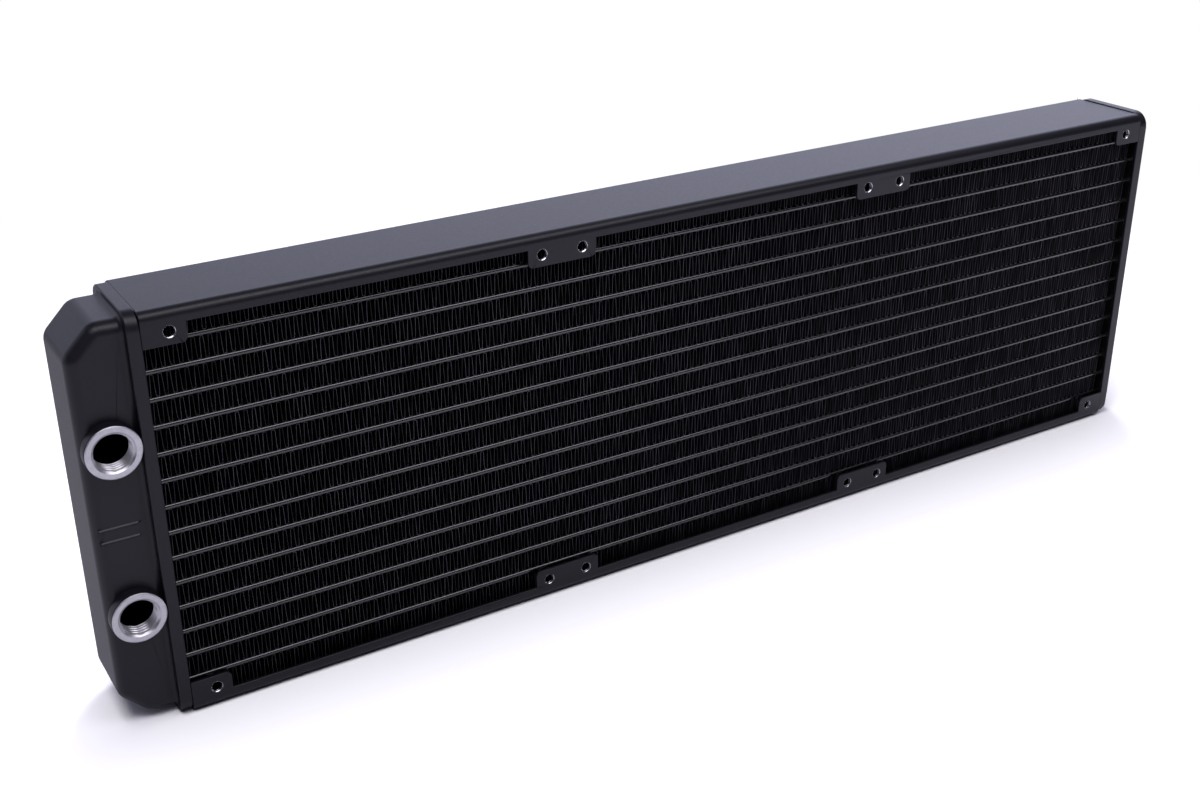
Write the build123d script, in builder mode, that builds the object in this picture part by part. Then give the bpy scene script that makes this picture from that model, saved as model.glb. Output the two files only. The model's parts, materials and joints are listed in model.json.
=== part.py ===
from build123d import *
import os

# Liquid cooling radiator for a row of computer fans: a core of flat tubes and folded
# fins between two header plates, a pressed tank at each end, and a bent channel along
# each long side that the fans are screwed to, front and rear.
#
# Millimetres.  X runs along the length, with the ports at the -X end.  Y is the depth,
# with the front fan seat on Y = 0 and the rear one on Y = body_depth.  +Z is up as the
# radiator stands on its long edge.  The origin is the centre of the middle fan's hole
# pattern, on the front fan seat.

# --- Fans -------------------------------------------------------------------------
fan_size = 140.0
fan_count = 3
fan_hole_spacing = 124.5
fan_hole_diameter = 3.3
fan_hole_edge_break = 0.35

# --- Body -------------------------------------------------------------------------
body_depth = 36.0
hole_to_side_face = 7.0
hole_to_channel_end = 8.25

# --- Side channels, bent from sheet -------------------------------------------------
channel_sheet = 1.2
channel_bend_radius = 3.0
flange_width = 4.85
tab_reach = 4.25
tab_margin = 5.3
tab_corner_radius = 2.0

# --- Core -------------------------------------------------------------------------
tube_count = 14
tube_thickness = 1.8
tube_wall = 0.3
tube_end_stand_out = 1.0
core_recess = 3.0
outer_fin_height = 8.65
fin_sheet = 0.12
fin_pitch = 1.34
fin_setback = 0.5
fin_end_clearance = 0.6

# --- Header plates ------------------------------------------------------------------
header_thickness = 1.5

# --- Tanks, pressed from sheet --------------------------------------------------------
tank_sheet = 1.2
rim_length = 4.0
rim_stand_out = 0.35
rim_corner_radius = 6.0
tank_inset_y = 3.5
tank_inset_z = 2.4
tank_bend_radius = 4.0
shoulder_radius = 1.6
port_tank_projection = 17.6
port_tank_chamfer = (8.8, 9.0)
port_tank_crease_radius = 5.5
return_tank_projection = 7.0
return_tank_chamfer = (2.6, 4.7)
return_tank_crease_radius = 4.3
divider_thickness = 1.5

# --- Beads that hold the divider, on the port tank's front wall -------------------------
bead_spacing = 4.3
bead_length = 12.6
bead_width = 0.9
bead_height = 0.4
bead_from_channel_end = 13.8

# --- Ports, G1/4 ------------------------------------------------------------------------
port_spacing = 57.0
port_from_channel_end = 12.6
bushing_diameter = 17.4
bushing_shank_diameter = 14.6
bushing_length = 6.0
bushing_stand_out = 4.0
bushing_edge_break = 0.4
thread_minor_diameter = 11.445
thread_mouth_diameter = 13.4

# --- Worked out from the sizes above ------------------------------------------------------
body_half_height = fan_hole_spacing / 2 + hole_to_side_face
channel_half_length = (fan_count - 1) / 2 * fan_size + fan_hole_spacing / 2 + hole_to_channel_end
body_mid_depth = body_depth / 2
rim_half_height = body_half_height + rim_stand_out
tank_half_height = rim_half_height - tank_inset_z

fan_centres = [(i - (fan_count - 1) / 2) * fan_size for i in range(fan_count)]
hole_columns = [c + side * fan_hole_spacing / 2 for c in fan_centres for side in (-1, 1)]
hole_row = fan_hole_spacing / 2

web_inner_z = body_half_height - channel_sheet
top_tube_z = web_inner_z - outer_fin_height - tube_thickness / 2
tube_pitch = 2 * top_tube_z / (tube_count - 1)
tube_heights = [i * tube_pitch - top_tube_z for i in range(tube_count)]
tube_depth = body_depth - 2 * core_recess
tube_half_length = channel_half_length + header_thickness + tube_end_stand_out

port_end = -1
return_end = 1
port_x = port_end * (channel_half_length + port_from_channel_end)
port_face_y = tank_inset_y - bushing_stand_out

# How close a place must be to count as the same when edges are picked out by place.
tolerance = 0.01


def write(piece, name):
    """Label a finished piece and write it to a STEP file of the same name."""
    piece.part.label = name
    export_step(piece.part, f"parts/{name}.step")


def section_plane(x):
    """Plane square to the length at x, centred on the depth: drawn in Y and Z, facing +X."""
    return Plane(origin=(x, body_mid_depth, 0), x_dir=(0, 1, 0), z_dir=(1, 0, 0))


def front_plane(y):
    """Plane square to the depth at y: drawn in X and Z, facing -Y."""
    return Plane(origin=(0, y, 0), x_dir=(1, 0, 0), z_dir=(0, -1, 0))


# --- Tanks ----------------------------------------------------------------------------------


def tank_form(end, projection, chamfer_sides, crease_radius, inset):
    """Solid form of a tank with its rim, every wall drawn in by inset."""
    x_start = channel_half_length - inset
    x_out = channel_half_length + rim_length + projection
    x_crease = x_out - chamfer_sides[0]
    z_crease = tank_half_height - chamfer_sides[1]
    side_view = [
        (x_start, tank_half_height),
        (x_crease, tank_half_height),
        (x_out, z_crease),
        (x_out, -z_crease),
        (x_crease, -tank_half_height),
        (x_start, -tank_half_height),
    ]
    with BuildPart() as form:
        with BuildSketch(front_plane(tank_inset_y + inset)) as outline:
            with BuildLine():
                Polyline(*[(end * x, z) for x, z in side_view], close=True)
            make_face()
            creases = outline.vertices().filter_by(lambda v: abs(v.X) > channel_half_length + tolerance)
            fillet(creases, crease_radius)
            if inset:
                offset(amount=-inset)
        extrude(amount=-(body_depth - 2 * (tank_inset_y + inset)))
        bends = form.edges().filter_by(
            lambda edge: abs(abs((edge @ 0.5).Y - body_mid_depth) - body_mid_depth + tank_inset_y + inset)
            < tolerance
            and abs((edge @ 0.5).X) > channel_half_length + tolerance
        )
        fillet(bends, tank_bend_radius - inset)
        with BuildSketch(section_plane(end * channel_half_length)):
            RectangleRounded(
                body_depth - 2 * inset,
                2 * (rim_half_height - inset),
                rim_corner_radius - inset,
            )
        extrude(amount=end * (rim_length - inset))
    return form.part


def shoulder_edges(shell, end):
    """Edges of the inner corner where a tank's body stands up from its rim."""
    rim_face_x = end * (channel_half_length + rim_length)
    tank_half_depth = body_mid_depth - tank_inset_y
    return shell.edges().filter_by_position(Axis.X, rim_face_x - tolerance, rim_face_x + tolerance).filter_by(
        lambda edge: abs((edge @ 0.5).Y - body_mid_depth) < tank_half_depth + tolerance
        and abs((edge @ 0.5).Z) < tank_half_height + tolerance
    )


port_tank_sizes = (port_end, port_tank_projection, port_tank_chamfer, port_tank_crease_radius)
return_tank_sizes = (return_end, return_tank_projection, return_tank_chamfer, return_tank_crease_radius)
port_tank_outside = tank_form(*port_tank_sizes, 0)
port_tank_inside = tank_form(*port_tank_sizes, tank_sheet)
return_tank_outside = tank_form(*return_tank_sizes, 0)
return_tank_inside = tank_form(*return_tank_sizes, tank_sheet)
port_places = [(port_x, side * port_spacing / 2) for side in (-1, 1)]

with BuildPart() as port_tank:
    add(port_tank_outside)
    fillet(shoulder_edges(port_tank, port_end), shoulder_radius)
    with BuildSketch(front_plane(tank_inset_y - bead_height)):
        bead_x = port_end * (channel_half_length + bead_from_channel_end)
        with Locations((bead_x, -bead_spacing / 2), (bead_x, bead_spacing / 2)):
            SlotOverall(bead_length, bead_width)
    extrude(amount=-(bead_height + tank_bend_radius))
    add(port_tank_inside, mode=Mode.SUBTRACT)
    # Each bushing's collar sits on the front wall, and its shank goes through it.
    with BuildSketch(front_plane(port_face_y)):
        with Locations(*port_places):
            Circle(bushing_diameter / 2)
    extrude(amount=-bushing_stand_out, mode=Mode.SUBTRACT)
    with BuildSketch(front_plane(port_face_y)):
        with Locations(*port_places):
            Circle(bushing_shank_diameter / 2)
    extrude(amount=-bushing_length, mode=Mode.SUBTRACT)

with BuildPart() as return_tank:
    add(return_tank_outside)
    fillet(shoulder_edges(return_tank, return_end), shoulder_radius)
    add(return_tank_inside, mode=Mode.SUBTRACT)

# The divider keeps the two ports apart, so the coolant goes down the lower tubes and
# comes back through the upper ones.
with BuildPart() as tank_divider:
    add(port_tank_inside)
    with BuildSketch(front_plane(0)):
        divider_start_x = port_end * (channel_half_length + header_thickness)
        port_tank_end_x = port_end * (channel_half_length + rim_length + port_tank_projection)
        with Locations(((port_tank_end_x + divider_start_x) / 2, 0)):
            Rectangle(abs(port_tank_end_x - divider_start_x), divider_thickness)
    extrude(amount=-body_depth, mode=Mode.INTERSECT)

os.makedirs("parts", exist_ok=True)
write(port_tank, "port_tank")
write(return_tank, "return_tank")
write(tank_divider, "tank_divider")


# --- Port bushings ---------------------------------------------------------------------------


def face_circles(piece):
    """The round edges on a bushing's front face, the thread's mouth first."""
    on_face = piece.edges().filter_by_position(Axis.Y, port_face_y - tolerance, port_face_y + tolerance)
    return on_face.sort_by(SortBy.LENGTH)


for name, side in (("lower_port_bushing", -1), ("upper_port_bushing", 1)):
    bushing_centre = (port_x, side * port_spacing / 2)
    with BuildPart() as bushing:
        with BuildSketch(front_plane(port_face_y)):
            with Locations(bushing_centre):
                Circle(bushing_diameter / 2)
        extrude(amount=-bushing_stand_out)
        with BuildSketch(front_plane(port_face_y)):
            with Locations(bushing_centre):
                Circle(bushing_shank_diameter / 2)
        extrude(amount=-bushing_length)
        with BuildSketch(front_plane(port_face_y)):
            with Locations(bushing_centre):
                Circle(thread_minor_diameter / 2)
        extrude(amount=-bushing_length, mode=Mode.SUBTRACT)
        chamfer(face_circles(bushing)[0], (thread_mouth_diameter - thread_minor_diameter) / 2)
        chamfer(face_circles(bushing)[-1], bushing_edge_break)
    write(bushing, name)


# --- Header plates ---------------------------------------------------------------------------

for name, end in (("port_header", port_end), ("return_header", return_end)):
    with BuildPart() as header:
        with BuildSketch(section_plane(end * channel_half_length)):
            RectangleRounded(
                body_depth - 2 * tank_sheet,
                2 * (rim_half_height - tank_sheet),
                rim_corner_radius - tank_sheet,
            )
            with Locations(*[(0, z) for z in tube_heights]):
                SlotOverall(tube_depth, tube_thickness, mode=Mode.SUBTRACT)
        extrude(amount=end * header_thickness)
    write(header, name)


# --- Tubes -----------------------------------------------------------------------------------

for number, z in enumerate(tube_heights, start=1):
    with BuildPart() as tube:
        with BuildSketch(section_plane(-tube_half_length)):
            with Locations((0, z)):
                SlotOverall(tube_depth, tube_thickness)
                SlotOverall(tube_depth - 2 * tube_wall, tube_thickness - 2 * tube_wall, mode=Mode.SUBTRACT)
        extrude(amount=2 * tube_half_length)
    write(tube, f"tube_{number:02d}")


# --- Fin strips --------------------------------------------------------------------------------


def folded_outline(low, high):
    """Outline of a sheet folded to and fro between the heights low and high."""
    fold_count = int(2 * (channel_half_length - fin_end_clearance) / fin_pitch)
    # Height of the sheet's cut face where a plumb line crosses a sloping wall.
    plumb_thickness = fin_sheet * (1 + ((high - low) / fin_pitch) ** 2) ** 0.5
    upper_edge = []
    lower_edge = []
    for fold in range(fold_count + 1):
        x = (fold - fold_count / 2) * fin_pitch
        if fold % 2:
            upper_edge.append((x, high))
            lower_edge.append((x, high - plumb_thickness))
        else:
            upper_edge.append((x, low + plumb_thickness))
            lower_edge.append((x, low))
    return upper_edge + lower_edge[::-1]


for number in range(1, tube_count + 2):
    if number == 1:
        fin_low = -web_inner_z
    else:
        fin_low = tube_heights[number - 2] + tube_thickness / 2
    if number == tube_count + 1:
        fin_high = web_inner_z
    else:
        fin_high = tube_heights[number - 1] - tube_thickness / 2
    with BuildPart() as fin_strip:
        with BuildSketch(front_plane(core_recess + fin_setback)):
            with BuildLine():
                Polyline(*folded_outline(fin_low, fin_high), close=True)
            make_face()
        extrude(amount=-(tube_depth - 2 * fin_setback))
    write(fin_strip, f"fin_strip_{number:02d}")


# --- Side channels -------------------------------------------------------------------------------

tab_inner_z = hole_row - tab_reach
tab_root_z = body_half_height - channel_bend_radius
tab_spans = [(-channel_half_length, hole_columns[0] + tab_margin)]
for left_hole, right_hole in zip(hole_columns[1:-1:2], hole_columns[2:-1:2]):
    tab_spans.append((left_hole - tab_margin, right_hole + tab_margin))
tab_spans.append((hole_columns[-1] - tab_margin, channel_half_length))

for name, side in (("bottom_channel", -1), ("top_channel", 1)):
    with BuildPart() as channel:
        with BuildSketch(section_plane(-channel_half_length)):
            RectangleRounded(body_depth, 2 * body_half_height, channel_bend_radius)
            RectangleRounded(
                body_depth - 2 * channel_sheet,
                2 * web_inner_z,
                channel_bend_radius - channel_sheet,
                mode=Mode.SUBTRACT,
            )
            with Locations((0, side * (body_half_height - flange_width / 2))):
                Rectangle(body_depth, flange_width, mode=Mode.INTERSECT)
        extrude(amount=2 * channel_half_length)
        for seat_y, inward in ((0, -channel_sheet), (body_depth, channel_sheet)):
            with BuildSketch(front_plane(seat_y)) as tabs:
                for tab_start, tab_end in tab_spans:
                    with Locations(((tab_start + tab_end) / 2, side * (tab_inner_z + tab_root_z) / 2)):
                        Rectangle(tab_end - tab_start, tab_root_z - tab_inner_z)
                free_corners = tabs.vertices().filter_by(
                    lambda v: abs(v.Y) < tab_inner_z + tolerance
                    and abs(v.X) < channel_half_length - tolerance
                )
                fillet(free_corners, tab_corner_radius)
            extrude(amount=inward)
        with BuildSketch(front_plane(0)):
            with Locations(*[(x, side * hole_row) for x in hole_columns]):
                Circle(fan_hole_diameter / 2)
        extrude(amount=-body_depth, mode=Mode.SUBTRACT)
        seat_edges = channel.edges().filter_by(GeomType.CIRCLE).filter_by(
            lambda edge: abs(edge.radius - fan_hole_diameter / 2) < tolerance
            and (abs(edge.arc_center.Y) < tolerance or abs(edge.arc_center.Y - body_depth) < tolerance)
        )
        chamfer(seat_edges, fan_hole_edge_break)
    write(channel, name)
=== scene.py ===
"""Looks of a liquid cooling radiator for a row of computer fans.

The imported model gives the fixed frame. The classes below dress it: two pressed end tanks, two turned
ports, two side channels bent from sheet, a row of flat tubes, folded fin strips and the cut threads
of the fan screw holes. Lengths in the classes are in millimetres; Blender works in metres.
"""

from __future__ import annotations

import json
import logging
import math
from collections.abc import Callable
from dataclasses import dataclass
from enum import Enum

import bmesh
import bpy
from mathutils import Matrix, Vector

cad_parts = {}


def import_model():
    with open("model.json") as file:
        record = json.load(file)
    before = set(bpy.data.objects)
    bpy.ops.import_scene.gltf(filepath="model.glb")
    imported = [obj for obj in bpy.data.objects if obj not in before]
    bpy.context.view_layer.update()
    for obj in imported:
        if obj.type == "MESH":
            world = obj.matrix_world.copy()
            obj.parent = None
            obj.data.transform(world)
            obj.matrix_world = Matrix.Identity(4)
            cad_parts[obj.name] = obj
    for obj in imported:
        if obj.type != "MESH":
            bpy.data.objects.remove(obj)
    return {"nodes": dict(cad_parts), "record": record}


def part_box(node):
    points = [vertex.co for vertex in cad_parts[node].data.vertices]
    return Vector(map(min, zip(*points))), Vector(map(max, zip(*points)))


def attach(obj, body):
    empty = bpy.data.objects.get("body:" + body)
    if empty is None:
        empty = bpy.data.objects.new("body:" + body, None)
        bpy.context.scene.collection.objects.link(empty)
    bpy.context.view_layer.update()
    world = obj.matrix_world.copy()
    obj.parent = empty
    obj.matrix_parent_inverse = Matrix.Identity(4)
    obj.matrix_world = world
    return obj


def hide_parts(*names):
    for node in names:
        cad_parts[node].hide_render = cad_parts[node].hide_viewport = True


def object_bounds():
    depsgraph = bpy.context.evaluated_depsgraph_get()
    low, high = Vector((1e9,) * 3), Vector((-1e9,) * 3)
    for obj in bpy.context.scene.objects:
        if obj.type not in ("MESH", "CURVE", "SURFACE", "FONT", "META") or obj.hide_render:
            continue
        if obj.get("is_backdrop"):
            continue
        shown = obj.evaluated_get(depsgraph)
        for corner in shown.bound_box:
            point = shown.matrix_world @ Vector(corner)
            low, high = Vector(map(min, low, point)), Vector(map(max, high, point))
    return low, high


MM = 0.001
# Cosine of the angle under which two neighbouring faces count as parts of one flat.
FLAT_COSINE = 0.999999
# A wave texture goes through this many radians for each unit of its scaled length.
WAVE_RADIANS = 20
# Where the port tank's front wall lies, and how far the pressed beads stand out of it.
TANK_INSET = 3.5
BEAD_HEIGHT = 0.4
LOG = logging.getLogger("radiator")
# What may feed a node's input: a node, by its first output, or one of its output sockets.
Source = bpy.types.Node | bpy.types.NodeSocket


class Face(Enum):
    """The two sides that fans are screwed to, as the direction each one looks along the depth."""

    FRONT = -1
    REAR = 1


class Zone(Enum):
    """Which finish a stretch of a turned bushing has, as its material's index."""

    BARE = 0
    PAINTED = 1


# --- Small tools ---------------------------------------------------------------------------------


def linear(hex_colour: str) -> tuple[float, float, float, float]:
    """Turn an sRGB hex colour into Blender's linear one.

    Args:
        hex_colour: Six hex digits, such as "1c1b20".

    Returns:
        Red, green, blue and alpha, linear.
    """
    values = []
    for start in (0, 2, 4):
        share = int(hex_colour[start : start + 2], 16) / 255
        values.append(share / 12.92 if share <= 0.04045 else ((share + 0.055) / 1.055) ** 2.4)
    return (values[0], values[1], values[2], 1.0)


def add_node(
    tree: bpy.types.NodeTree,
    kind: str,
    links: dict[str | int, object] | None = None,
    **settings: object,
) -> bpy.types.Node:
    """Add a node with its settings and links.

    Args:
        tree: Node tree to add to.
        kind: Node type's identifier.
        links: For each input socket, what feeds it: a node, by its first output, an output socket, or
            the value it holds.
        settings: The node's own settings.

    Returns:
        The new node.
    """
    node = tree.nodes.new(kind)
    for name, value in settings.items():
        setattr(node, name, value)
    for name, value in (links or {}).items():
        source = value.outputs[0] if isinstance(value, bpy.types.Node) else value
        if isinstance(source, bpy.types.NodeSocket):
            tree.links.new(source, node.inputs[name])
        else:
            node.inputs[name].default_value = source
    return node


def new_material(name: str) -> tuple[bpy.types.Material, bpy.types.NodeTree]:
    """Start a material with an empty node tree.

    Args:
        name: The material's name.

    Returns:
        The material and its tree.
    """
    made = bpy.data.materials.new(name)
    made.use_nodes = True
    made.node_tree.nodes.clear()
    return made, made.node_tree


def new_object(name: str, data: bpy.types.ID) -> bpy.types.Object:
    """Put a mesh, a light or a camera in the scene as an object at the origin.

    Args:
        name: The object's name.
        data: The mesh, light or camera.

    Returns:
        The new object.
    """
    made = bpy.data.objects.new(name, data)
    bpy.context.scene.collection.objects.link(made)
    return made


def make_plain(piece: bpy.types.Object) -> None:
    """Replace an object's mesh by its evaluated one, and drop its modifiers.

    Args:
        piece: Object whose modifiers are done with.
    """
    graph = bpy.context.evaluated_depsgraph_get()
    finished = bpy.data.meshes.new_from_object(piece.evaluated_get(graph))
    piece.modifiers.clear()
    piece.data = finished
    finished.name = piece.name


def hand_over(piece: bpy.types.Object, nodes: list[str]) -> None:
    """Tie a finished piece to the frame.

    Args:
        piece: The finished piece.
        nodes: CAD nodes that it stands for.
    """
    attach(piece, "root")
    if nodes:
        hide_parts(*nodes)
    LOG.info("%s: %d faces", piece.name, len(piece.data.polygons))


def set_inputs(modifier: bpy.types.Modifier, values: dict[str, object]) -> None:
    """Set a Geometry Nodes modifier's inputs by the identifiers of its sockets.

    Args:
        modifier: The modifier, with its tree set.
        values: Input name to value.
    """
    for item in modifier.node_group.interface.items_tree:
        if item.item_type == "SOCKET" and item.in_out == "INPUT" and item.name in values:
            modifier[item.identifier] = values[item.name]


def new_tree(name: str, inputs: dict[str, str]) -> tuple[bpy.types.NodeTree, bpy.types.Node]:
    """Start a Geometry Nodes tree.

    Args:
        name: The tree's name.
        inputs: Input name to socket type.

    Returns:
        The tree and its group input node.
    """
    tree = bpy.data.node_groups.new(name, "GeometryNodeTree")
    tree.interface.new_socket("Geometry", in_out="OUTPUT", socket_type="NodeSocketGeometry")
    tree.interface.new_socket("Geometry", in_out="INPUT", socket_type="NodeSocketGeometry")
    for label, socket_type in inputs.items():
        tree.interface.new_socket(label, in_out="INPUT", socket_type=socket_type)
    return tree, tree.nodes.new("NodeGroupInput")


def centred_line(tree: bpy.types.NodeTree, length: Source) -> bpy.types.Node:
    """Draw a straight curve along X, its middle at the origin.

    Args:
        tree: The tree.
        length: The curve's length.

    Returns:
        The node that draws it.
    """
    half = add_node(tree, "ShaderNodeMath", {0: length, 1: 0.5}, operation="MULTIPLY")
    minus_half = add_node(tree, "ShaderNodeMath", {0: length, 1: -0.5}, operation="MULTIPLY")
    left = add_node(tree, "ShaderNodeCombineXYZ", {"X": minus_half})
    right = add_node(tree, "ShaderNodeCombineXYZ", {"X": half})
    return add_node(tree, "GeometryNodeCurvePrimitiveLine", {"Start": left, "End": right})


def sweep(
    tree: bpy.types.NodeTree, section: Source, path: Source, up: tuple[float, float, float]
) -> bpy.types.Node:
    """Sweep a section along a curve, with closed ends.

    Args:
        tree: The tree.
        section: Profile curve.
        path: Curve to follow.
        up: Direction that the section keeps to as its own X.

    Returns:
        The node that makes the mesh.
    """
    kept_up = add_node(tree, "GeometryNodeSetCurveNormal", {"Curve": path, "Normal": up}, mode="FREE")
    ends = {"Curve": kept_up, "Profile Curve": section, "Fill Caps": True}
    return add_node(tree, "GeometryNodeCurveToMesh", ends)


def end_tree(tree: bpy.types.NodeTree, shape: Source, finish: bpy.types.NodeSocket) -> None:
    """End a tree in Realize Instances and Set Material.

    Args:
        tree: The tree.
        shape: Geometry that it has made.
        finish: Material to set.
    """
    real = add_node(tree, "GeometryNodeRealizeInstances", {"Geometry": shape})
    flat = add_node(tree, "GeometryNodeSetShadeSmooth", {"Geometry": real, "Shade Smooth": False})
    dressed = add_node(tree, "GeometryNodeSetMaterial", {"Geometry": flat, "Material": finish})
    add_node(tree, "NodeGroupOutput", {"Geometry": dressed})


def smooth_by_angle(mesh: bpy.types.Mesh, degrees: float) -> None:
    """Shade a mesh smooth, with edges over an angle left sharp.

    Args:
        mesh: The mesh.
        degrees: Angle between two faces over which their edge stays sharp.
    """
    mesh.shade_smooth()
    mesh.set_sharp_from_angle(angle=math.radians(degrees))


def areas_of_flats(shape: bmesh.types.BMesh) -> list[float]:
    """Measure the flat that each face belongs to, neighbours in one plane being one flat.

    Args:
        shape: The mesh.

    Returns:
        The flat's area for each face, in the order of the faces.
    """
    shape.faces.ensure_lookup_table()
    flat_of = [-1] * len(shape.faces)
    areas: list[float] = []
    for seed in shape.faces:
        if flat_of[seed.index] >= 0:
            continue
        flat_of[seed.index] = len(areas)
        area = 0.0
        waiting = [seed]
        while waiting:
            face = waiting.pop()
            area += face.calc_area()
            for edge in face.edges:
                for beside in edge.link_faces:
                    if flat_of[beside.index] < 0 and beside.normal.dot(seed.normal) > FLAT_COSINE:
                        flat_of[beside.index] = len(areas)
                        waiting.append(beside)
        areas.append(area)
    return [areas[flat] for flat in flat_of]


def flats_stay_flat(mesh: bpy.types.Mesh, degrees: float) -> None:
    """Shade a mesh smooth round its bends, with every flat shaded flat right up to its edges.

    Args:
        mesh: The mesh.
        degrees: Angle between two faces over which their edge stays sharp.
    """
    shape = bmesh.new()
    shape.from_mesh(mesh)
    areas = areas_of_flats(shape)
    limit = math.cos(math.radians(degrees))
    normals = []
    for face in shape.faces:
        for corner in face.loops:
            total = Vector((0.0, 0.0, 0.0))
            for beside in corner.vert.link_faces:
                if beside.normal.dot(face.normal) > limit:
                    total += beside.normal * areas[beside.index]
            normals.append(total.normalized() if total.length else face.normal.copy())
    shape.free()
    mesh.shade_smooth()
    mesh.normals_split_custom_set(normals)


# --- Finishes ------------------------------------------------------------------------------------


@dataclass(frozen=True)
class SatinCoat:
    """Satin black stoving enamel, sprayed on brass and steel sheet.

    The eye sees a near-black with a faint violet cast, a soft wide sheen, and a very fine orange peel
    where the droplets have flowed together.
    """

    name: str
    colour: str = "14141b"
    thin_colour: str = "1a1a22"
    roughness: float = 0.40
    roughness_spread: float = 0.02
    ior: float = 1.5
    # Orange peel of sprayed enamel has cells of about 0.5 mm; drawn twice as coarse so that it shows.
    peel_cell: float = 1.0
    peel_height: float = 0.0015
    # Film thickness, and the cast of the black with it, wanders over a few centimetres.
    drift: float = 35.0

    def material(self) -> bpy.types.Material:
        """Build the finish.

        Returns:
            The material.
        """
        made, tree = new_material(self.name)
        place = add_node(tree, "ShaderNodeTexCoord").outputs["Object"]
        drift = add_node(
            tree,
            "ShaderNodeTexNoise",
            {"Vector": place, "Scale": 1 / (self.drift * MM), "Detail": 2.0, "Roughness": 0.5},
        )
        colour = add_node(
            tree,
            "ShaderNodeMix",
            {"Factor": drift, 6: linear(self.colour), 7: linear(self.thin_colour)},
            data_type="RGBA",
        )
        peel = add_node(
            tree,
            "ShaderNodeTexNoise",
            {"Vector": place, "Scale": 1 / (self.peel_cell * MM), "Detail": 1.0, "Roughness": 0.4},
        )
        sheen = add_node(
            tree,
            "ShaderNodeMapRange",
            {
                "Value": peel,
                "From Min": 0.25,
                "From Max": 0.75,
                "To Min": self.roughness - self.roughness_spread,
                "To Max": self.roughness + self.roughness_spread,
            },
        )
        bump = add_node(
            tree, "ShaderNodeBump", {"Height": peel, "Strength": 1.0, "Distance": self.peel_height * MM}
        )
        shader = add_node(
            tree,
            "ShaderNodeBsdfPrincipled",
            {
                "Base Color": colour.outputs[2],
                "Roughness": sheen,
                "IOR": self.ior,
                "Normal": bump,
            },
        )
        add_node(tree, "ShaderNodeOutputMaterial", {"Surface": shader})
        return made


@dataclass(frozen=True)
class FinCoat:
    """Thin black enamel on the fins: near-black down the walls; a painted highlight makes the cut edges
    paler and uneven.

    The eye sees fine broken upright lines where the edges catch the light, over almost nothing behind.
    """

    name: str
    middle: float
    half_depth: float
    wall_colour: str = "121115"
    # Painted highlight on the cut edges: its brightest colour, then the colour of its dimmest patches.
    edge_highlight_colour: str = "6a666f"
    dim_highlight_colour: str = "28262b"
    roughness: float = 0.45
    ior: float = 1.45
    # The painted highlight starts this far in from the cut edge, and is at its brightest on the edge's
    # corner.
    edge_reach: float = 0.25
    edge_corner: float = 0.02
    # The painted highlight breaks into patches along each fold, drawn out up its wall.
    fold_length: float = 2.2
    draw_out: float = 0.12
    # Noise value under which the painted highlight is at its dimmest, and over which it is at its
    # brightest.
    dimmest_under: float = 0.4
    brightest_over: float = 0.66

    def material(self) -> bpy.types.Material:
        """Build the finish.

        Returns:
            The material.
        """
        made, tree = new_material(self.name)
        place = add_node(tree, "ShaderNodeTexCoord").outputs["Object"]
        to_middle = (0.0, -self.middle, 0.0)
        centred = add_node(tree, "ShaderNodeMapping", {"Vector": place, "Location": to_middle})
        split = add_node(tree, "ShaderNodeSeparateXYZ", {0: centred})
        depth = add_node(tree, "ShaderNodeMath", {0: split.outputs["Y"]}, operation="ABSOLUTE")
        # Mask of the painted highlight: a band along the fins' front and rear cut edges.
        highlight_mask = add_node(
            tree,
            "ShaderNodeMapRange",
            {
                "Value": depth,
                "From Min": self.half_depth - self.edge_reach * MM,
                "From Max": self.half_depth - self.edge_corner * MM,
            },
        )
        upright = add_node(tree, "ShaderNodeMapping", {"Vector": place, "Scale": (1.0, 0.0, self.draw_out)})
        # Noise that breaks the painted highlight into upright patches.
        highlight_breaks = add_node(
            tree,
            "ShaderNodeTexNoise",
            {"Vector": upright, "Scale": 1 / (self.fold_length * MM), "Detail": 3.0},
        )
        highlight_strength = add_node(
            tree,
            "ShaderNodeMapRange",
            {"Value": highlight_breaks, "From Min": self.dimmest_under, "From Max": self.brightest_over},
        )
        edge = add_node(
            tree,
            "ShaderNodeMix",
            {"Factor": highlight_strength, 6: linear(self.dim_highlight_colour), 7: linear(self.edge_highlight_colour)},
            data_type="RGBA",
        )
        # The painted edge highlight laid over the near-black walls.
        colour = add_node(
            tree,
            "ShaderNodeMix",
            {"Factor": highlight_mask, 6: linear(self.wall_colour), 7: edge.outputs[2]},
            data_type="RGBA",
        )
        shader = add_node(
            tree,
            "ShaderNodeBsdfPrincipled",
            {"Base Color": colour.outputs[2], "Roughness": self.roughness, "IOR": self.ior},
        )
        add_node(tree, "ShaderNodeOutputMaterial", {"Surface": shader})
        return made


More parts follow.
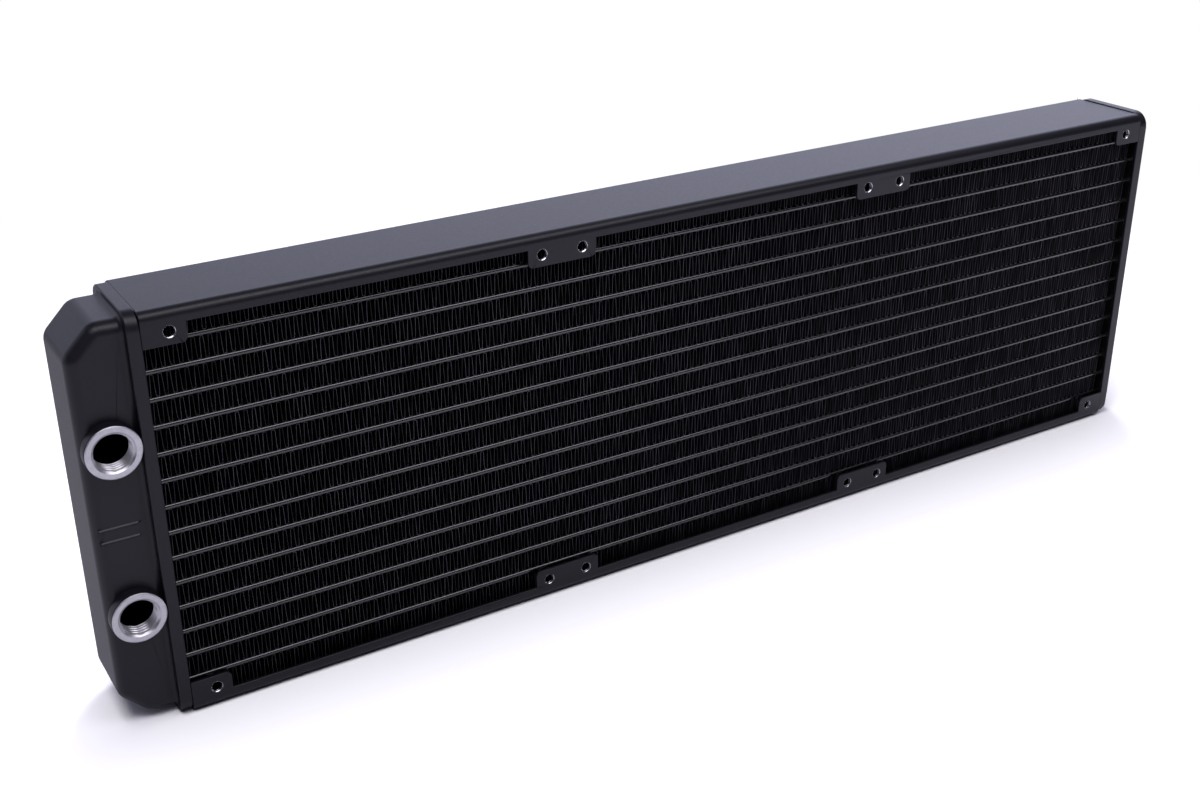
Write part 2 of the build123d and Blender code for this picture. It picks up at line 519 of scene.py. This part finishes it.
@dataclass(frozen=True)
class TurnedMetal:
    """Metal cut on a lathe: nickel-plated brass, or bare steel in a tapped hole.

    The eye sees a bright pale metal whose fine tool marks run in rings round the axis.
    """

    name: str
    centre: Vector
    colour: str = "f7f6f8"
    mark_colour: str = "d6d4da"
    roughness: float = 0.4
    roughness_spread: float = 0.06
    # A finishing cut feeds about 0.08 mm a turn; drawn four times as coarse so that it shows.
    feed: float = 0.32
    mark_height: float = 0.006
    # Handling leaves patches a little over a millimetre across.
    stain_size: float = 1.5

    def material(self) -> bpy.types.Material:
        """Build the finish.

        Returns:
            The material.
        """
        made, tree = new_material(self.name)
        place = add_node(tree, "ShaderNodeTexCoord").outputs["Object"]
        # Centred on the axis, so that the distance in X and Z is the radius of the cut.
        centred = add_node(tree, "ShaderNodeMapping", {"Vector": place, "Location": -self.centre})
        rings = add_node(
            tree,
            "ShaderNodeTexWave",
            {
                "Vector": centred,
                "Scale": 2 * math.pi / (WAVE_RADIANS * self.feed * MM),
                "Distortion": 0.6,
                "Detail": 2.0,
                "Detail Scale": 3.0,
            },
            wave_type="RINGS",
            rings_direction="Y",
        )
        stain = add_node(
            tree,
            "ShaderNodeTexNoise",
            {"Vector": place, "Scale": 1 / (self.stain_size * MM), "Detail": 4.0, "Roughness": 0.6},
        )
        colour = add_node(
            tree,
            "ShaderNodeMix",
            {"Factor": stain, 6: linear(self.mark_colour), 7: linear(self.colour)},
            data_type="RGBA",
        )
        gloss = add_node(
            tree,
            "ShaderNodeMapRange",
            {
                "Value": rings.outputs["Fac"],
                "To Min": self.roughness - self.roughness_spread,
                "To Max": self.roughness + self.roughness_spread,
            },
        )
        bump = add_node(
            tree,
            "ShaderNodeBump",
            {"Height": rings.outputs["Fac"], "Strength": 1.0, "Distance": self.mark_height * MM},
        )
        shader = add_node(
            tree,
            "ShaderNodeBsdfPrincipled",
            {
                "Base Color": colour.outputs[2],
                "Roughness": gloss,
                "Metallic": 1.0,
                "Normal": bump,
            },
        )
        add_node(tree, "ShaderNodeOutputMaterial", {"Surface": shader})
        return made


@dataclass(frozen=True)
class RolledBrass:
    """Rolled brass sheet, left bare inside the tank: warm and dull, with faint marks along the roll."""

    name: str
    colour: str = "b08d4f"
    tarnish: str = "8a6a3a"
    roughness: float = 0.45
    # Roll marks are about 0.1 mm apart; drawn twice as coarse so that they show.
    mark_width: float = 0.2
    # They run twenty times as far along X as they are wide.
    mark_squeeze: float = 0.05

    def material(self) -> bpy.types.Material:
        """Build the finish.

        Returns:
            The material.
        """
        made, tree = new_material(self.name)
        place = add_node(tree, "ShaderNodeTexCoord").outputs["Object"]
        squeeze = (self.mark_squeeze, 1.0, 1.0)
        along = add_node(tree, "ShaderNodeMapping", {"Vector": place, "Scale": squeeze})
        marks = add_node(
            tree,
            "ShaderNodeTexNoise",
            {"Vector": along, "Scale": 1 / (self.mark_width * MM), "Detail": 3.0},
        )
        colour = add_node(
            tree,
            "ShaderNodeMix",
            {"Factor": marks, 6: linear(self.tarnish), 7: linear(self.colour)},
            data_type="RGBA",
        )
        shader = add_node(
            tree,
            "ShaderNodeBsdfPrincipled",
            {"Base Color": colour.outputs[2], "Roughness": self.roughness, "Metallic": 1.0},
        )
        add_node(tree, "ShaderNodeOutputMaterial", {"Surface": shader})
        return made


# --- Pressed and bent sheet ----------------------------------------------------------------------


@dataclass
class SheetPiece:
    """A tank pressing or a side channel: the CAD sheet with its cut edges eased and its bends smooth."""

    node: str
    name: str
    slot: str
    finish: bpy.types.Material
    edge_break: float = 0.3
    edge_steps: int = 3
    eased_angle: float = 50.0
    # Depth at which the pressed beads' crests lie, and how far their edges are rounded.
    crest_y: float = math.inf
    crest_round: float = 0.39
    crest_within: float = 0.01
    # Corners of the CAD mesh this close together are one.
    merge_within: float = 0.0005
    sharp_angle: float = 35.0

    def build(self) -> bpy.types.Object:
        """Make the piece from a merged copy of its CAD node.

        Returns:
            The finished piece.
        """
        cad = bpy.data.objects[self.node]
        sheet = bmesh.new()
        sheet.from_mesh(cad.data)
        bmesh.ops.remove_doubles(sheet, verts=sheet.verts[:], dist=self.merge_within * MM)
        eased = sheet.edges.layers.float.new("bevel_weight_edge")
        for edge in sheet.edges:
            if not edge.is_convex or edge.calc_face_angle(0.0) < math.radians(self.eased_angle):
                continue
            on_crest = all(abs(vert.co.y / MM - self.crest_y) < self.crest_within for vert in edge.verts)
            edge[eased] = 1.0 if on_crest else self.edge_break / self.crest_round
        mesh = bpy.data.meshes.new(self.name)
        sheet.to_mesh(mesh)
        sheet.free()
        piece = new_object(self.name, mesh)
        ease = piece.modifiers.new("eased edges", "BEVEL")
        ease.width = self.crest_round * MM
        ease.segments = self.edge_steps
        ease.limit_method = "WEIGHT"
        ease.use_clamp_overlap = False
        ease.miter_outer = "MITER_ARC"
        make_plain(piece)
        flats_stay_flat(piece.data, self.sharp_angle)
        piece.data.materials.clear()
        piece.data.materials.append(self.finish)
        hand_over(piece, [self.node])
        return piece


# --- Threads -------------------------------------------------------------------------------------


@dataclass(frozen=True)
class Thread:
    """A female thread: its radii and pitch in millimetres, and the number of steps round a turn."""

    minor_radius: float
    major_radius: float
    pitch: float
    steps: int

    def radius(self, turn: float, depth: float) -> float:
        """Radius of the thread's flank.

        Args:
            turn: Share of a turn round the axis.
            depth: Distance in from the mouth.

        Returns:
            The radius there.
        """
        share = (depth / self.pitch + turn) % 1.0
        ramp = 1 - abs(2 * share - 1)
        rounded = ramp * ramp * (3 - 2 * ramp)
        return self.minor_radius + (self.major_radius - self.minor_radius) * rounded


@dataclass
class TurnedRing:
    """A ring turned about the depth axis, with a chamfered mouth, a thread inside and a stepped outside."""

    thread: Thread
    length: float
    mouth_radius: float
    outside: list[tuple[float, float, Zone]]
    rows_per_pitch: int = 10

    def mesh(self, name: str, centre: Vector) -> bpy.types.Mesh:
        """Make the closed ring, its mouth at the centre and its length along +Y.

        Args:
            name: The mesh's name.
            centre: Centre of its mouth, in metres.

        Returns:
            The mesh.
        """
        mouth_depth = self.mouth_radius - self.thread.minor_radius
        rows = math.ceil(self.length / self.thread.pitch * self.rows_per_pitch)
        rings: list[tuple[Callable[[float], float], float, Zone]] = []
        for row in range(rows, -1, -1):
            depth = self.length * row / rows
            mouth = self.mouth_radius - depth if depth < mouth_depth else 0.0
            rings.append(
                (lambda turn, d=depth, m=mouth: max(self.thread.radius(turn, d), m), depth, Zone.BARE)
            )
        for depth, radius, zone in self.outside:
            rings.append((lambda turn, r=radius: r, depth, zone))
        ring = bmesh.new()
        loops = []
        for radius_at, depth, _ in rings:
            loop = []
            for step in range(self.thread.steps):
                turn = step / self.thread.steps
                radius = radius_at(turn) * MM
                angle = 2 * math.pi * turn
                offset = Vector((radius * math.cos(angle), depth * MM, radius * math.sin(angle)))
                loop.append(ring.verts.new(centre + offset))
            loops.append(loop)
        for index, loop in enumerate(loops):
            following = (index + 1) % len(loops)
            deeper = loops[following]
            for step in range(self.thread.steps):
                beyond = (step + 1) % self.thread.steps
                face = ring.faces.new((loop[step], loop[beyond], deeper[beyond], deeper[step]))
                face.material_index = rings[following][2].value
        bmesh.ops.recalc_face_normals(ring, faces=ring.faces[:])
        mesh = bpy.data.meshes.new(name)
        ring.to_mesh(mesh)
        ring.free()
        return mesh


@dataclass
class PortBushing:
    """A turned G1/4 bushing: bare nickel on its face and in its thread, enamel on the collar's side."""

    node: str
    name: str
    mouth: Vector
    paint: bpy.types.Material
    collar_radius: float = 8.7
    collar_length: float = 4.0
    shank_radius: float = 7.3
    length: float = 6.0
    face_edge: float = 0.4
    mouth_radius: float = 6.7
    # The rounding of the face's edge: way in and way out, as shares of face_edge.
    rounding: tuple[tuple[float, float, Zone], ...] = (
        (0.1, 0.0, Zone.BARE),
        (0.45, 0.6, Zone.BARE),
        (1.0, 0.925, Zone.PAINTED),
        (1.5, 1.0, Zone.PAINTED),
    )
    # Narrow rings beside an edge, which keep the shading of what it borders flat.
    face_ring: float = 0.06
    side_ring: float = 0.1
    sharp_angle: float = 32.0
    thread: Thread = Thread(minor_radius=5.7225, major_radius=6.5785, pitch=1.337, steps=128)

    def build(self) -> bpy.types.Object:
        """Make the bushing.

        Returns:
            The finished piece.
        """
        face_radius = self.collar_radius - self.face_edge
        outside = [
            (0.0, self.mouth_radius + self.face_ring, Zone.BARE),
            (0.0, (self.mouth_radius + face_radius) / 2, Zone.BARE),
            (0.0, face_radius - self.face_ring, Zone.BARE),
            *(
                (self.face_edge * way_in, face_radius + self.face_edge * way_out, zone)
                for way_in, way_out, zone in self.rounding
            ),
            (self.collar_length - self.side_ring, self.collar_radius, Zone.PAINTED),
            (self.collar_length, self.collar_radius, Zone.PAINTED),
            (self.collar_length, self.shank_radius, Zone.PAINTED),
            (self.length, self.shank_radius, Zone.BARE),
        ]
        ring = TurnedRing(self.thread, self.length, self.mouth_radius, outside)
        piece = new_object(self.name, ring.mesh(self.name, self.mouth))
        piece.data.materials.append(TurnedMetal(f"turned nickel {self.name}", self.mouth).material())
        piece.data.materials.append(self.paint)
        smooth_by_angle(piece.data, self.sharp_angle)
        hand_over(piece, [self.node])
        return piece


@dataclass
class ScrewHoles:
    """The M4 threads cut in the channels' lips for the fan screws, bare metal in the painted sheet."""

    record: dict
    sheet: float = 1.2
    mouth_radius: float = 1.96
    mouth_lip: float = 0.03
    wall: float = 0.1
    sharp_angle: float = 40.0
    thread: Thread = Thread(minor_radius=1.6, major_radius=1.84, pitch=0.7, steps=32)

    def centres(self, face: Face) -> list[Vector]:
        """Centres of the screw holes on one side, from the record's bolt patterns.

        Args:
            face: The side.

        Returns:
            A point on the lip's outer face for each hole.
        """
        found = []
        for mount in self.record["mounts"]:
            if mount["kind"] != "bolt_pattern" or round(mount["axis"][1]) != face.value:
                continue
            half_x = mount["dims"]["spacing_x_mm"] / 2 * MM
            half_z = mount["dims"]["spacing_y_mm"] / 2 * MM
            middle = Vector(mount["pos_m"])
            for side_x in (-1, 1):
                for side_z in (-1, 1):
                    found.append(middle + Vector((side_x * half_x, 0.0, side_z * half_z)))
        return found

    def tree(self) -> bpy.types.NodeTree:
        """Build the node tree that puts a thread in every hole.

        Returns:
            The tree.
        """
        sockets = {
            "Thread": "NodeSocketObject",
            "Turned": "NodeSocketVector",
            "Finish": "NodeSocketMaterial",
        }
        tree, start = new_tree("screw hole threads", sockets)
        thread = add_node(tree, "GeometryNodeObjectInfo", {"Object": start.outputs["Thread"]})
        placed = add_node(
            tree,
            "GeometryNodeInstanceOnPoints",
            {
                "Points": start.outputs["Geometry"],
                "Instance": thread.outputs["Geometry"],
                "Rotation": start.outputs["Turned"],
            },
        )
        end_tree(tree, placed, start.outputs["Finish"])
        return tree

    def build(self) -> list[bpy.types.Object]:
        """Make the threads of each side.

        Returns:
            One piece for each side.
        """
        outside = [
            (0.0, self.mouth_radius + self.mouth_lip, Zone.BARE),
            (self.wall, self.mouth_radius + self.wall, Zone.BARE),
            (self.sheet, self.thread.major_radius + self.wall, Zone.BARE),
        ]
        ring = TurnedRing(self.thread, self.sheet, self.mouth_radius, outside, rows_per_pitch=8)
        origin = Vector((0.0, 0.0, 0.0))
        cutter = new_object("thread", ring.mesh("thread", origin))
        finish = TurnedMetal("cut steel thread", origin, colour="d8d8da", roughness=0.22).material()
        tree = self.tree()
        pieces = []
        for face in Face:
            name = f"{face.name.lower()}_screw_threads"
            points = bpy.data.meshes.new(name)
            points.from_pydata([tuple(p) for p in self.centres(face)], [], [])
            piece = new_object(name, points)
            modifier = piece.modifiers.new("threads", "NODES")
            modifier.node_group = tree
            turned = (0.0, 0.0, 0.0 if face is Face.FRONT else math.pi)
            set_inputs(modifier, {"Thread": cutter, "Turned": turned, "Finish": finish})
            make_plain(piece)
            smooth_by_angle(piece.data, self.sharp_angle)
            hand_over(piece, [])
            pieces.append(piece)
        bpy.data.objects.remove(cutter)
        return pieces


# --- Core ----------------------------------------------------------------------------------------


@dataclass
class TubeRow:
    """The flat coolant tubes, evenly spaced from the lowest to the highest."""

    nodes: list[str]
    finish: bpy.types.Material
    nose_steps: int = 32
    sharp_angle: float = 50.0

    def tree(self) -> bpy.types.NodeTree:
        """Build the node tree that draws one flat tube and repeats it up the core.

        Returns:
            The tree.
        """
        sockets = {
            "Count": "NodeSocketInt",
            "Pitch": "NodeSocketFloat",
            "Lowest": "NodeSocketVector",
            "Length": "NodeSocketFloat",
            "Depth": "NodeSocketFloat",
            "Thickness": "NodeSocketFloat",
            "Nose Steps": "NodeSocketInt",
            "Finish": "NodeSocketMaterial",
        }
        tree, start = new_tree("tube row", sockets)
        given = start.outputs
        spine = centred_line(tree, given["Length"])
        radius = add_node(tree, "ShaderNodeMath", {0: given["Thickness"], 1: 0.5}, operation="MULTIPLY")
        circle = add_node(
            tree, "GeometryNodeCurvePrimitiveCircle", {"Resolution": given["Nose Steps"], "Radius": radius}
        )
        # The circle is pulled apart into two half-round noses joined by flats.
        place = add_node(tree, "GeometryNodeInputPosition")
        split = add_node(tree, "ShaderNodeSeparateXYZ", {0: place})
        side = add_node(tree, "ShaderNodeMath", {0: split.outputs["Y"]}, operation="SIGN")
        spread = add_node(
            tree, "ShaderNodeMath", {0: given["Depth"], 1: given["Thickness"]}, operation="SUBTRACT"
        )
        reach = add_node(tree, "ShaderNodeMath", {0: spread, 1: 0.5}, operation="MULTIPLY")
        shift = add_node(tree, "ShaderNodeMath", {0: side, 1: reach}, operation="MULTIPLY")
        offset = add_node(tree, "ShaderNodeCombineXYZ", {"Y": shift})
        section = add_node(tree, "GeometryNodeSetPosition", {"Geometry": circle, "Offset": offset})
        tube = sweep(tree, section, spine, (0.0, 0.0, 1.0))
        rise = add_node(tree, "ShaderNodeCombineXYZ", {"Z": given["Pitch"]})
        places = add_node(
            tree,
            "GeometryNodeMeshLine",
            {"Count": given["Count"], "Start Location": given["Lowest"], "Offset": rise},
        )
        row = add_node(tree, "GeometryNodeInstanceOnPoints", {"Points": places, "Instance": tube})
        end_tree(tree, row, given["Finish"])
        return tree

    def build(self) -> bpy.types.Object:
        """Make the tubes where the CAD ones are.

        Returns:
            The finished piece.
        """
        low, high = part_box(self.nodes[0])
        last_low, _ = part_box(self.nodes[-1])
        piece = new_object("flat_tubes", bpy.data.meshes.new("flat_tubes"))
        modifier = piece.modifiers.new("tube row", "NODES")
        modifier.node_group = self.tree()
        values = {
            "Count": len(self.nodes),
            "Pitch": (last_low.z - low.z) / (len(self.nodes) - 1),
            "Lowest": (low + high) / 2,
            "Length": high.x - low.x,
            "Depth": high.y - low.y,
            "Thickness": high.z - low.z,
            "Nose Steps": self.nose_steps,
            "Finish": self.finish,
        }
        set_inputs(modifier, values)
        make_plain(piece)
        smooth_by_angle(piece.data, self.sharp_angle)
        hand_over(piece, self.nodes)
        return piece


@dataclass
class FinStrips:
    """The folded fin strips that fill the gaps between the tubes."""

    nodes: list[str]
    finish: bpy.types.Material
    fold_pitch: float = 1.34
    sheet: float = 0.1
    steepness: float = 6.0
    unevenness: float = 0.5
    unevenness_length: float = 9.0
    steps_per_wall: int = 8
    sharp_angle: float = 60.0

    def tree(self) -> bpy.types.NodeTree:
        """Build the node tree that folds one strip: near-upright walls joined by rounded crests.

        Returns:
            The tree.
        """
        sockets = {
            "Walls": "NodeSocketInt",
            "Steps Per Wall": "NodeSocketInt",
            "Fold Pitch": "NodeSocketFloat",
            "Middle": "NodeSocketVector",
            "Height": "NodeSocketFloat",
            "Depth": "NodeSocketFloat",
            "Sheet": "NodeSocketFloat",
            "Steepness": "NodeSocketFloat",
            "Unevenness": "NodeSocketFloat",
            "Unevenness Scale": "NodeSocketFloat",
            "Seed": "NodeSocketFloat",
            "Finish": "NodeSocketMaterial",
        }
        tree, start = new_tree("folded fin strip", sockets)
        given = start.outputs
        length = add_node(
            tree, "ShaderNodeMath", {0: given["Walls"], 1: given["Fold Pitch"]}, operation="MULTIPLY"
        )
        flat = centred_line(tree, length)
        steps = add_node(
            tree, "ShaderNodeMath", {0: given["Walls"], 1: given["Steps Per Wall"]}, operation="MULTIPLY"
        )
        count = add_node(tree, "ShaderNodeMath", {0: steps, 1: 1.0}, operation="ADD")
        divided = add_node(tree, "GeometryNodeResampleCurve", {"Curve": flat, "Count": count})
        # A sine squashed against the tubes: steep where it crosses the middle, rounded at its crests.
        place = add_node(tree, "GeometryNodeInputPosition")
        split = add_node(tree, "ShaderNodeSeparateXYZ", {0: place})
        walls = add_node(
            tree, "ShaderNodeMath", {0: split.outputs["X"], 1: given["Fold Pitch"]}, operation="DIVIDE"
        )
        # The folds are never quite evenly spaced: they crowd and spread a little along the strip.
        crowding = add_node(
            tree,
            "ShaderNodeTexNoise",
            {"Vector": place, "W": given["Seed"], "Scale": given["Unevenness Scale"], "Detail": 2.0},
            noise_dimensions="4D",
        )
        # The noise runs from 0 to 1, and the crowding from -1 to 1.
        centred = add_node(
            tree,
            "ShaderNodeMapRange",
            {"Value": crowding, "From Min": 0.0, "From Max": 1.0, "To Min": -1.0, "To Max": 1.0},
            clamp=False,
        )
        uneven = add_node(
            tree, "ShaderNodeMath", {0: centred, 1: given["Unevenness"], 2: walls}, operation="MULTIPLY_ADD"
        )
        phase = add_node(tree, "ShaderNodeMath", {0: uneven, 1: math.pi}, operation="MULTIPLY")
        wave = add_node(tree, "ShaderNodeMath", {0: phase}, operation="SINE")
        steep = add_node(tree, "ShaderNodeMath", {0: wave, 1: given["Steepness"]}, operation="MULTIPLY")
        squashed = add_node(tree, "ShaderNodeMath", {0: steep}, operation="TANH")
        free = add_node(
            tree, "ShaderNodeMath", {0: given["Height"], 1: given["Sheet"]}, operation="SUBTRACT"
        )
        swing = add_node(tree, "ShaderNodeMath", {0: free, 1: 0.5}, operation="MULTIPLY")
        rise = add_node(tree, "ShaderNodeMath", {0: squashed, 1: swing}, operation="MULTIPLY")
        lift = add_node(tree, "ShaderNodeCombineXYZ", {"Z": rise})
        folded = add_node(tree, "GeometryNodeSetPosition", {"Geometry": divided, "Offset": lift})
        section = add_node(
            tree,
            "GeometryNodeCurvePrimitiveQuadrilateral",
            {"Width": given["Depth"], "Height": given["Sheet"]},
        )
        strip = sweep(tree, section, folded, (0.0, 1.0, 0.0))
        moved = add_node(tree, "GeometryNodeTransform", {"Geometry": strip, "Translation": given["Middle"]})
        end_tree(tree, moved, given["Finish"])
        return tree

    def build(self) -> list[bpy.types.Object]:
        """Fold a strip into each gap.

        Returns:
            One piece for each strip.
        """
        tree = self.tree()
        pieces = []
        for seed, node in enumerate(self.nodes):
            low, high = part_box(node)
            name = f"{node}_folds"
            piece = new_object(name, bpy.data.meshes.new(name))
            modifier = piece.modifiers.new("folds", "NODES")
            modifier.node_group = tree
            values = {
                "Walls": math.floor((high.x - low.x) / (self.fold_pitch * MM)),
                "Steps Per Wall": self.steps_per_wall,
                "Fold Pitch": self.fold_pitch * MM,
                "Middle": (low + high) / 2,
                "Height": high.z - low.z,
                "Depth": high.y - low.y,
                "Sheet": self.sheet * MM,
                "Steepness": self.steepness,
                "Unevenness": self.unevenness,
                "Unevenness Scale": 1 / (self.unevenness_length * MM),
                "Seed": float(seed),
                "Finish": self.finish,
            }
            set_inputs(modifier, values)
            make_plain(piece)
            smooth_by_angle(piece.data, self.sharp_angle)
            hand_over(piece, [node])
            pieces.append(piece)
        return pieces


# --- Studio --------------------------------------------------------------------------------------


@dataclass(frozen=True)
class SoftBox:
    """A soft light that faces the origin: its place and sides in metres, its power and colour."""

    name: str
    place: tuple[float, float, float]
    size: tuple[float, float]
    power: float
    colour: str = "ffffff"

    def build(self) -> bpy.types.Object:
        """Hang the light.

        Returns:
            The light's object.
        """
        lamp = bpy.data.lights.new(self.name, "AREA")
        lamp.shape = "RECTANGLE"
        lamp.size, lamp.size_y = self.size
        lamp.energy = self.power
        lamp.color = linear(self.colour)[:3]
        light = new_object(self.name, lamp)
        light.location = self.place
        light.rotation_mode = "QUATERNION"
        light.rotation_quaternion = (-Vector(self.place)).to_track_quat("-Z", "Y")
        return light


@dataclass
class Studio:
    """A pale floor and backdrop, soft lights and the camera."""

    floor_height: float
    floor_size: float = 6.0
    # Distance from the middle where the paper's lit part starts to fade into plain white, and ends.
    paper_fade: tuple[float, float] = (0.32, 0.6)
    # What the paper gives back to the radiator, and where along X it turns from one to the other.
    grey_by_ports: str = "a09fa8"
    grey_far_end: str = "cecdd6"
    grey_turns: tuple[float, float] = (-0.25, 0.45)
    # Strength of the backdrop behind and of the dim studio in front.
    backdrop: float = 1.9
    front_dim: float = 0.05
    backdrop_colour: str = "e3e4ff"
    # Directions, as shares of a unit vector: the backdrop starts along Y, ends up Z, and brightens
    # along X between two shares of its strength.
    backdrop_starts: tuple[float, float] = (0.0, 0.5)
    backdrop_ends: tuple[float, float] = (0.4, 0.92)
    backdrop_along: tuple[float, float] = (-0.2, 0.8)
    backdrop_shares: tuple[float, float] = (0.36, 1.05)
    # The camera: its focal length, its place, and the ways to its right and straight down its view.
    lens: float = 45.374
    eye: tuple[float, float, float] = (-0.30848, -0.41217, 0.22812)
    right: tuple[float, float, float] = (0.85121, -0.52480, -0.00546)
    down: tuple[float, float, float] = (-0.22486, -0.35527, -0.90732)

    def floor(self) -> bpy.types.Object:
        """Lay the floor, its surface where the radiator stands.

        Returns:
            The floor.
        """
        half = self.floor_size / 2
        mesh = bpy.data.meshes.new("floor")
        corners = [(-half, -half), (half, -half), (half, half), (-half, half)]
        mesh.from_pydata([(x, y, self.floor_height) for x, y in corners], [], [(0, 1, 2, 3)])
        paper, tree = new_material("white paper")
        grey_from, grey_to = self.grey_turns
        fade_from, fade_to = self.paper_fade
        # To the eye the paper is overexposed; what it gives back to the radiator is a soft grey.
        near = add_node(tree, "ShaderNodeBsdfDiffuse", {"Color": linear("f8f7fb")})
        far = add_node(tree, "ShaderNodeEmission", {"Color": linear("ffffff"), "Strength": 1.0})
        place = add_node(tree, "ShaderNodeTexCoord").outputs["Object"]
        split = add_node(tree, "ShaderNodeSeparateXYZ", {0: place})
        along = add_node(
            tree,
            "ShaderNodeMapRange",
            {"Value": split.outputs["X"], "From Min": grey_from, "From Max": grey_to},
            interpolation_type="SMOOTHSTEP",
        )
        grey = add_node(
            tree,
            "ShaderNodeMix",
            {"Factor": along, 6: linear(self.grey_by_ports), 7: linear(self.grey_far_end)},
            data_type="RGBA",
        )
        given_back = add_node(tree, "ShaderNodeBsdfDiffuse", {"Color": grey.outputs[2]})
        away = add_node(tree, "ShaderNodeVectorMath", {0: place}, operation="LENGTH")
        fade = add_node(
            tree,
            "ShaderNodeMapRange",
            {"Value": away.outputs["Value"], "From Min": fade_from, "From Max": fade_to},
            interpolation_type="SMOOTHSTEP",
        )
        seen = add_node(tree, "ShaderNodeMixShader", {0: fade, 1: near, 2: far})
        path = add_node(tree, "ShaderNodeLightPath")
        shader = add_node(
            tree, "ShaderNodeMixShader", {0: path.outputs["Is Camera Ray"], 1: given_back, 2: seen}
        )
        add_node(tree, "ShaderNodeOutputMaterial", {"Surface": shader})
        mesh.materials.append(paper)
        floor = new_object("floor", mesh)
        floor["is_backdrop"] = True
        return floor

    def world(self) -> None:
        """Surround the scene: a bright backdrop behind, dim studio in front, plain white to the eye."""
        made = bpy.data.worlds.new("studio")
        bpy.context.scene.world = made
        made.use_nodes = True
        tree = made.node_tree
        tree.nodes.clear()
        way = add_node(tree, "ShaderNodeTexCoord").outputs["Generated"]
        split = add_node(tree, "ShaderNodeSeparateXYZ", {0: way})
        ramps = (
            ("Y", self.backdrop_starts, (0.0, 1.0), "SMOOTHSTEP"),
            ("Z", self.backdrop_ends, (1.0, 0.0), "SMOOTHSTEP"),
            ("X", self.backdrop_along, self.backdrop_shares, "LINEAR"),
        )
        strength = self.backdrop
        for axis, (start, end), (first, last), easing in ramps:
            values = {"From Min": start, "From Max": end, "To Min": first, "To Max": last}
            ramp = add_node(
                tree,
                "ShaderNodeMapRange",
                {"Value": split.outputs[axis], **values},
                interpolation_type=easing,
            )
            strength = add_node(tree, "ShaderNodeMath", {0: ramp, 1: strength}, operation="MULTIPLY")
        bright = add_node(tree, "ShaderNodeMath", {0: strength, 1: self.front_dim}, operation="ADD")
        lighting = add_node(
            tree, "ShaderNodeBackground", {"Color": linear(self.backdrop_colour), "Strength": bright}
        )
        seen = add_node(tree, "ShaderNodeBackground", {"Color": linear("ffffff"), "Strength": 1.0})
        path = add_node(tree, "ShaderNodeLightPath")
        mixed = add_node(
            tree, "ShaderNodeMixShader", {0: path.outputs["Is Camera Ray"], 1: lighting, 2: seen}
        )
        add_node(tree, "ShaderNodeOutputWorld", {"Surface": mixed})

    def camera(self) -> None:
        """Set the camera up."""
        right = Vector(self.right).normalized()
        up = -Vector(self.down)
        up = (up - right * up.dot(right)).normalized()
        back = right.cross(up)
        lens = bpy.data.cameras.new("camera")
        lens.sensor_width = 36.0
        lens.lens = self.lens
        lens.clip_start = 0.01
        lens.clip_end = 50.0
        eye = new_object("camera", lens)
        turn = Matrix((right, up, back)).transposed().to_4x4()
        eye.matrix_world = Matrix.Translation(Vector(self.eye)) @ turn
        bpy.context.scene.camera = eye

    def build(self) -> None:
        """Build the studio."""
        floor = self.floor()
        self.world()
        SoftBox("overhead soft box", (0.0, -0.5, 0.95), (1.4, 0.45), power=6.2, colour="f4f0fb").build()
        wash = SoftBox("floor wash", (-0.1, 0.1, 1.6), (2.2, 0.3), power=38.0).build()
        only_floor = bpy.data.collections.new("lit by the floor wash")
        only_floor.objects.link(floor)
        wash.light_linking.receiver_collection = only_floor
        self.camera()
        bpy.context.scene.view_settings.view_transform = "Standard"


# --- The radiator --------------------------------------------------------------------------------


def corners(box: tuple[Vector, Vector]) -> list[list[float]]:
    """Turn a box's two corners into plain lists.

    Args:
        box: Lowest and highest corner.

    Returns:
        The corners as lists of numbers.
    """
    return [list(corner) for corner in box]


def main() -> None:
    """Dress the whole radiator and light it."""
    logging.basicConfig(level=logging.INFO, format="%(name)s: %(message)s")
    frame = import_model()
    cad_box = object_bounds()
    nodes = frame["nodes"]
    record = frame["record"]
    mounts = {mount["name"]: mount for mount in record["mounts"]}

    coat = SatinCoat("satin black enamel").material()
    core_coat = SatinCoat(
        "satin black enamel on tubes",
        colour="0b0a0b",
        thin_colour="0f0e0d",
        # The film is thicker and glossier where it pools on the tubes' noses.
        roughness=0.24,
        ior=2.0,
        peel_cell=1.4,
        peel_height=0.02,
    ).material()
    fin_low, fin_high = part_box("fin_strip_01")
    fin_middle = (fin_low.y + fin_high.y) / 2
    # The fins' finish carries a painted highlight on their cut edges.
    fin_coat = FinCoat("thin black enamel on fins", fin_middle, fin_high.y - fin_middle).material()

    crest = TANK_INSET - BEAD_HEIGHT
    SheetPiece("port_tank", "port_tank_pressing", "tank_paint", coat, edge_steps=1, crest_y=crest).build()
    SheetPiece("return_tank", "return_tank_pressing", "tank_paint", coat).build()
    SheetPiece("bottom_channel", "bottom_channel_sheet", "channel_paint", coat).build()
    SheetPiece("top_channel", "top_channel_sheet", "channel_paint", coat).build()

    for port in ("lower_port", "upper_port"):
        node = f"{port}_bushing"
        low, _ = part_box(node)
        axis = Vector(mounts[port]["pos_m"])
        PortBushing(node, f"{node}_turned", Vector((axis.x, low.y, axis.z)), coat).build()
    ScrewHoles(record).build()

    TubeRow(sorted(name for name in nodes if name.startswith("tube_")), core_coat).build()
    FinStrips(sorted(name for name in nodes if name.startswith("fin_strip_")), fin_coat).build()

    brass = RolledBrass("rolled brass").material()
    for name, finish in (("port_header", core_coat), ("return_header", core_coat), ("tank_divider", brass)):
        nodes[name].data.materials.clear()
        nodes[name].data.materials.append(finish)
        LOG.info("%s: carried over", name)

    Studio(floor_height=cad_box[0].z).build()


if __name__ == "__main__":
    main()
